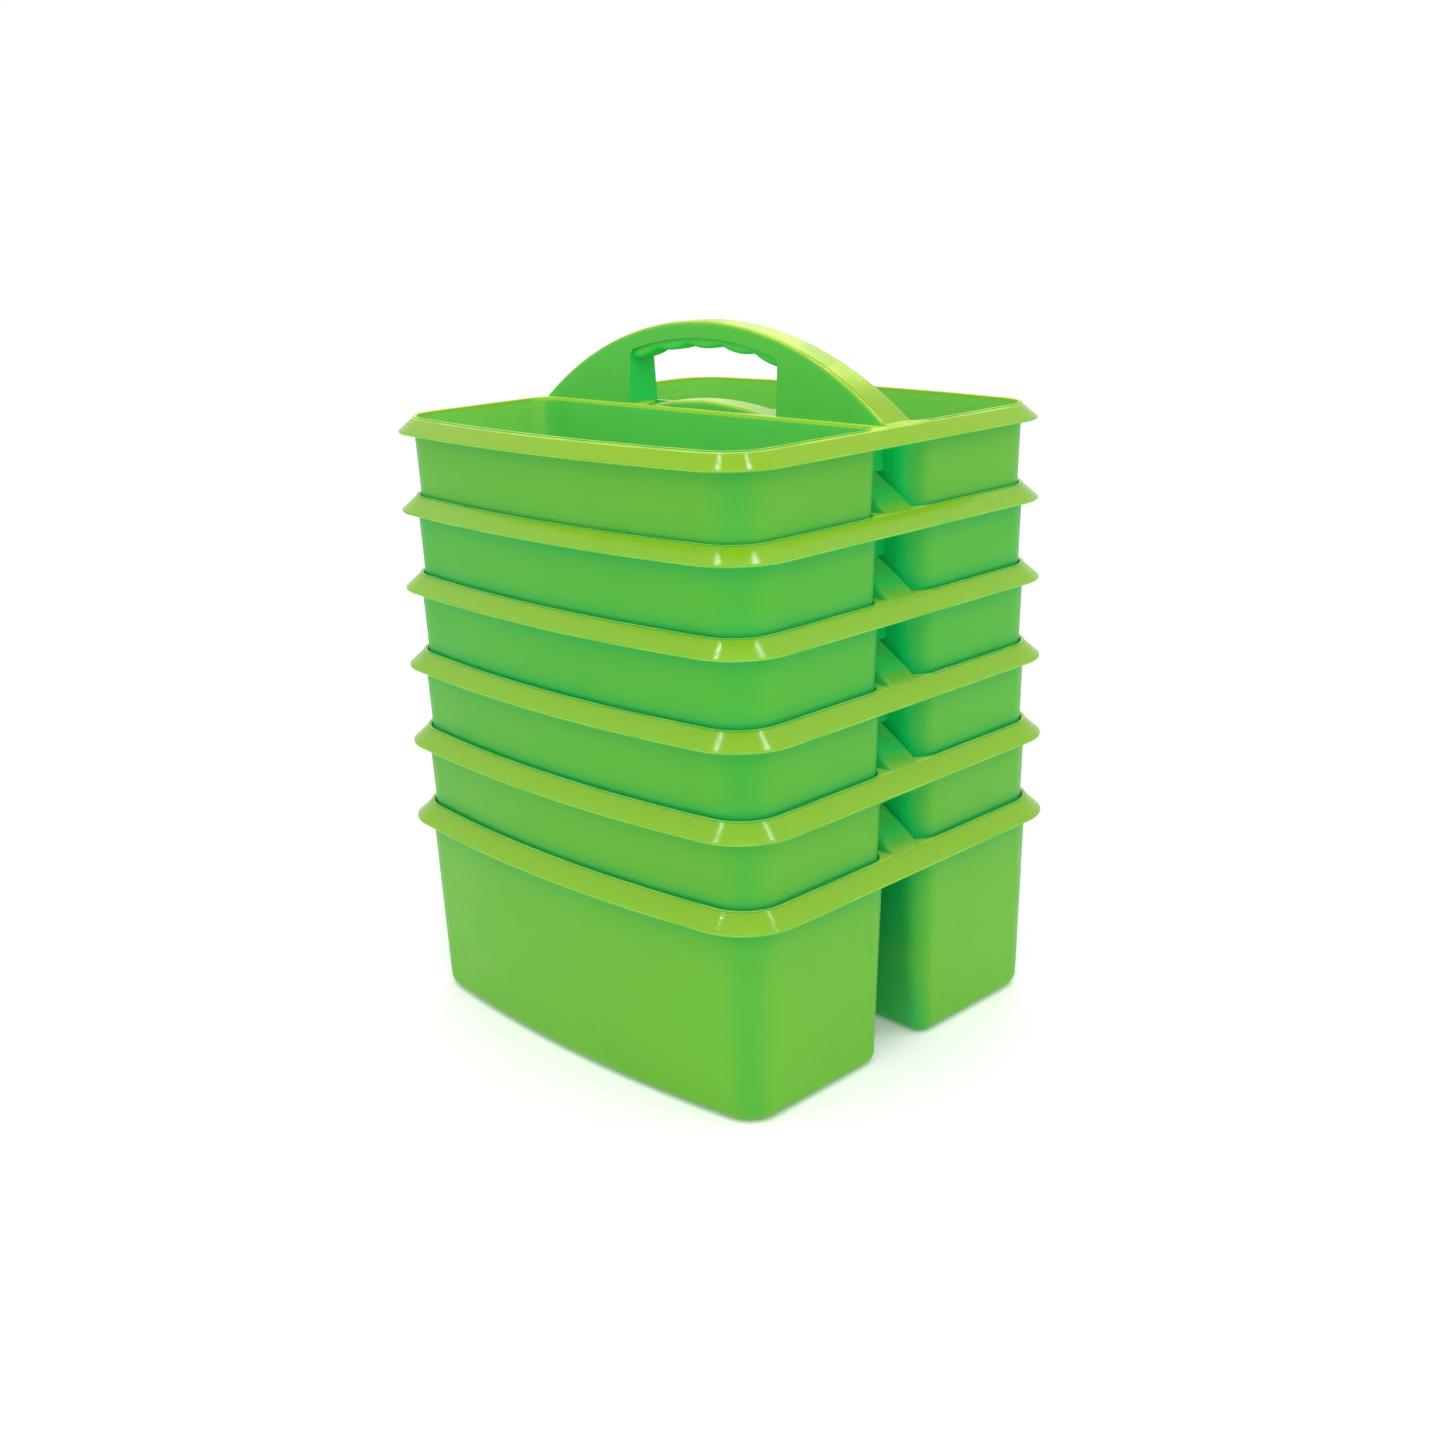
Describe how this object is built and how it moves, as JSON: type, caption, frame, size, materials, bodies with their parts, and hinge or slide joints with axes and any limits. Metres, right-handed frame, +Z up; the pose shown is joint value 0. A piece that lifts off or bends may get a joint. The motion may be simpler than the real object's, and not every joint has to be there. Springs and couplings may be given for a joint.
{
  "type": "cleaning caddy",
  "caption": "Nesting set of one-piece moulded cleaning caddies: open bins either side of a hollow slot, drooping rim flange and arched carry handle with a finger grip. Each lifts straight off.",
  "frame": {"origin": "on the ground under the centre of the nested set, midway between the two bins of the bottom caddy", "axes": "+X along the carry handles and the slot between the bins, +Y across from the front bins to the rear bins, +Z up, the way the caddies lift apart"},
  "size_m": [0.235, 0.2286, 0.3183],
  "materials": {
    "caddy_plastic": "satin moulded polypropylene, lime green, slightly translucent; rim and handle strip smoother than the bin walls"
  },
  "bodies": {
    "caddy_1_bottom": {"caddy_1_bottom": "caddy_plastic"},
    "caddy_2": {"caddy_2": "caddy_plastic"},
    "caddy_3": {"caddy_3": "caddy_plastic"},
    "caddy_4": {"caddy_4": "caddy_plastic"},
    "caddy_5": {"caddy_5": "caddy_plastic"},
    "caddy_6_top": {"caddy_6_top": "caddy_plastic"}
  },
  "joints": [
    {"name": "lift_caddy_2", "type": "slide", "parent": "caddy_1_bottom", "child": "caddy_2", "axis": [0, 0, 1], "range_m": [0, 0.1]},
    {"name": "lift_caddy_3", "type": "slide", "parent": "caddy_2", "child": "caddy_3", "axis": [0, 0, 1], "range_m": [0, 0.1]},
    {"name": "lift_caddy_4", "type": "slide", "parent": "caddy_3", "child": "caddy_4", "axis": [0, 0, 1], "range_m": [0, 0.1]},
    {"name": "lift_caddy_5", "type": "slide", "parent": "caddy_4", "child": "caddy_5", "axis": [0, 0, 1], "range_m": [0, 0.1]},
    {"name": "lift_caddy_6_top", "type": "slide", "parent": "caddy_5", "child": "caddy_6_top", "axis": [0, 0, 1], "range_m": [0, 0.1]}
  ]
}
